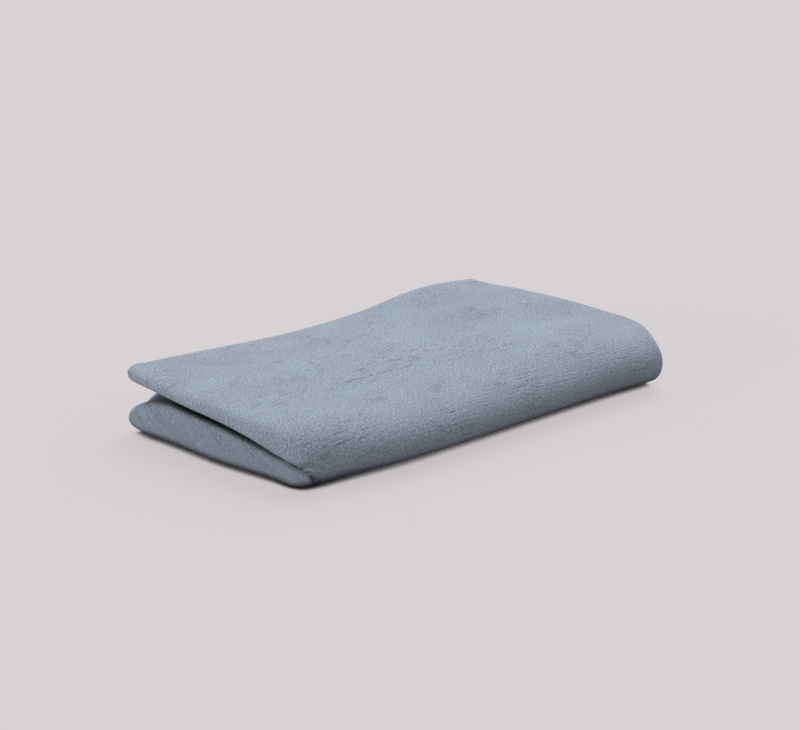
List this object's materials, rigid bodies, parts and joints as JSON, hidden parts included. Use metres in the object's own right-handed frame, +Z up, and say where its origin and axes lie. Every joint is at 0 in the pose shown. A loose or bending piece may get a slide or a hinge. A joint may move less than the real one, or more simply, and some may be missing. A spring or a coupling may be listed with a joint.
{
  "type": "folded travel towel",
  "caption": "Soft travel towel folded into a flat rectangular pad, with rounded closed folds along the near side and the left end and open edges behind.",
  "frame": {"origin": "middle of the folded towel's footprint, on the surface that it lies on", "axes": "+X along the long side, from the end with the closed noses to the end with the hems; +Y from the closed near edge to the far edge; +Z up"},
  "size_m": [0.3152, 0.1692, 0.0446],
  "materials": {
    "cloth": "matte heathered grey-blue plain weave"
  },
  "bodies": {
    "root": {"towel": "cloth"}
  },
  "joints": []
}
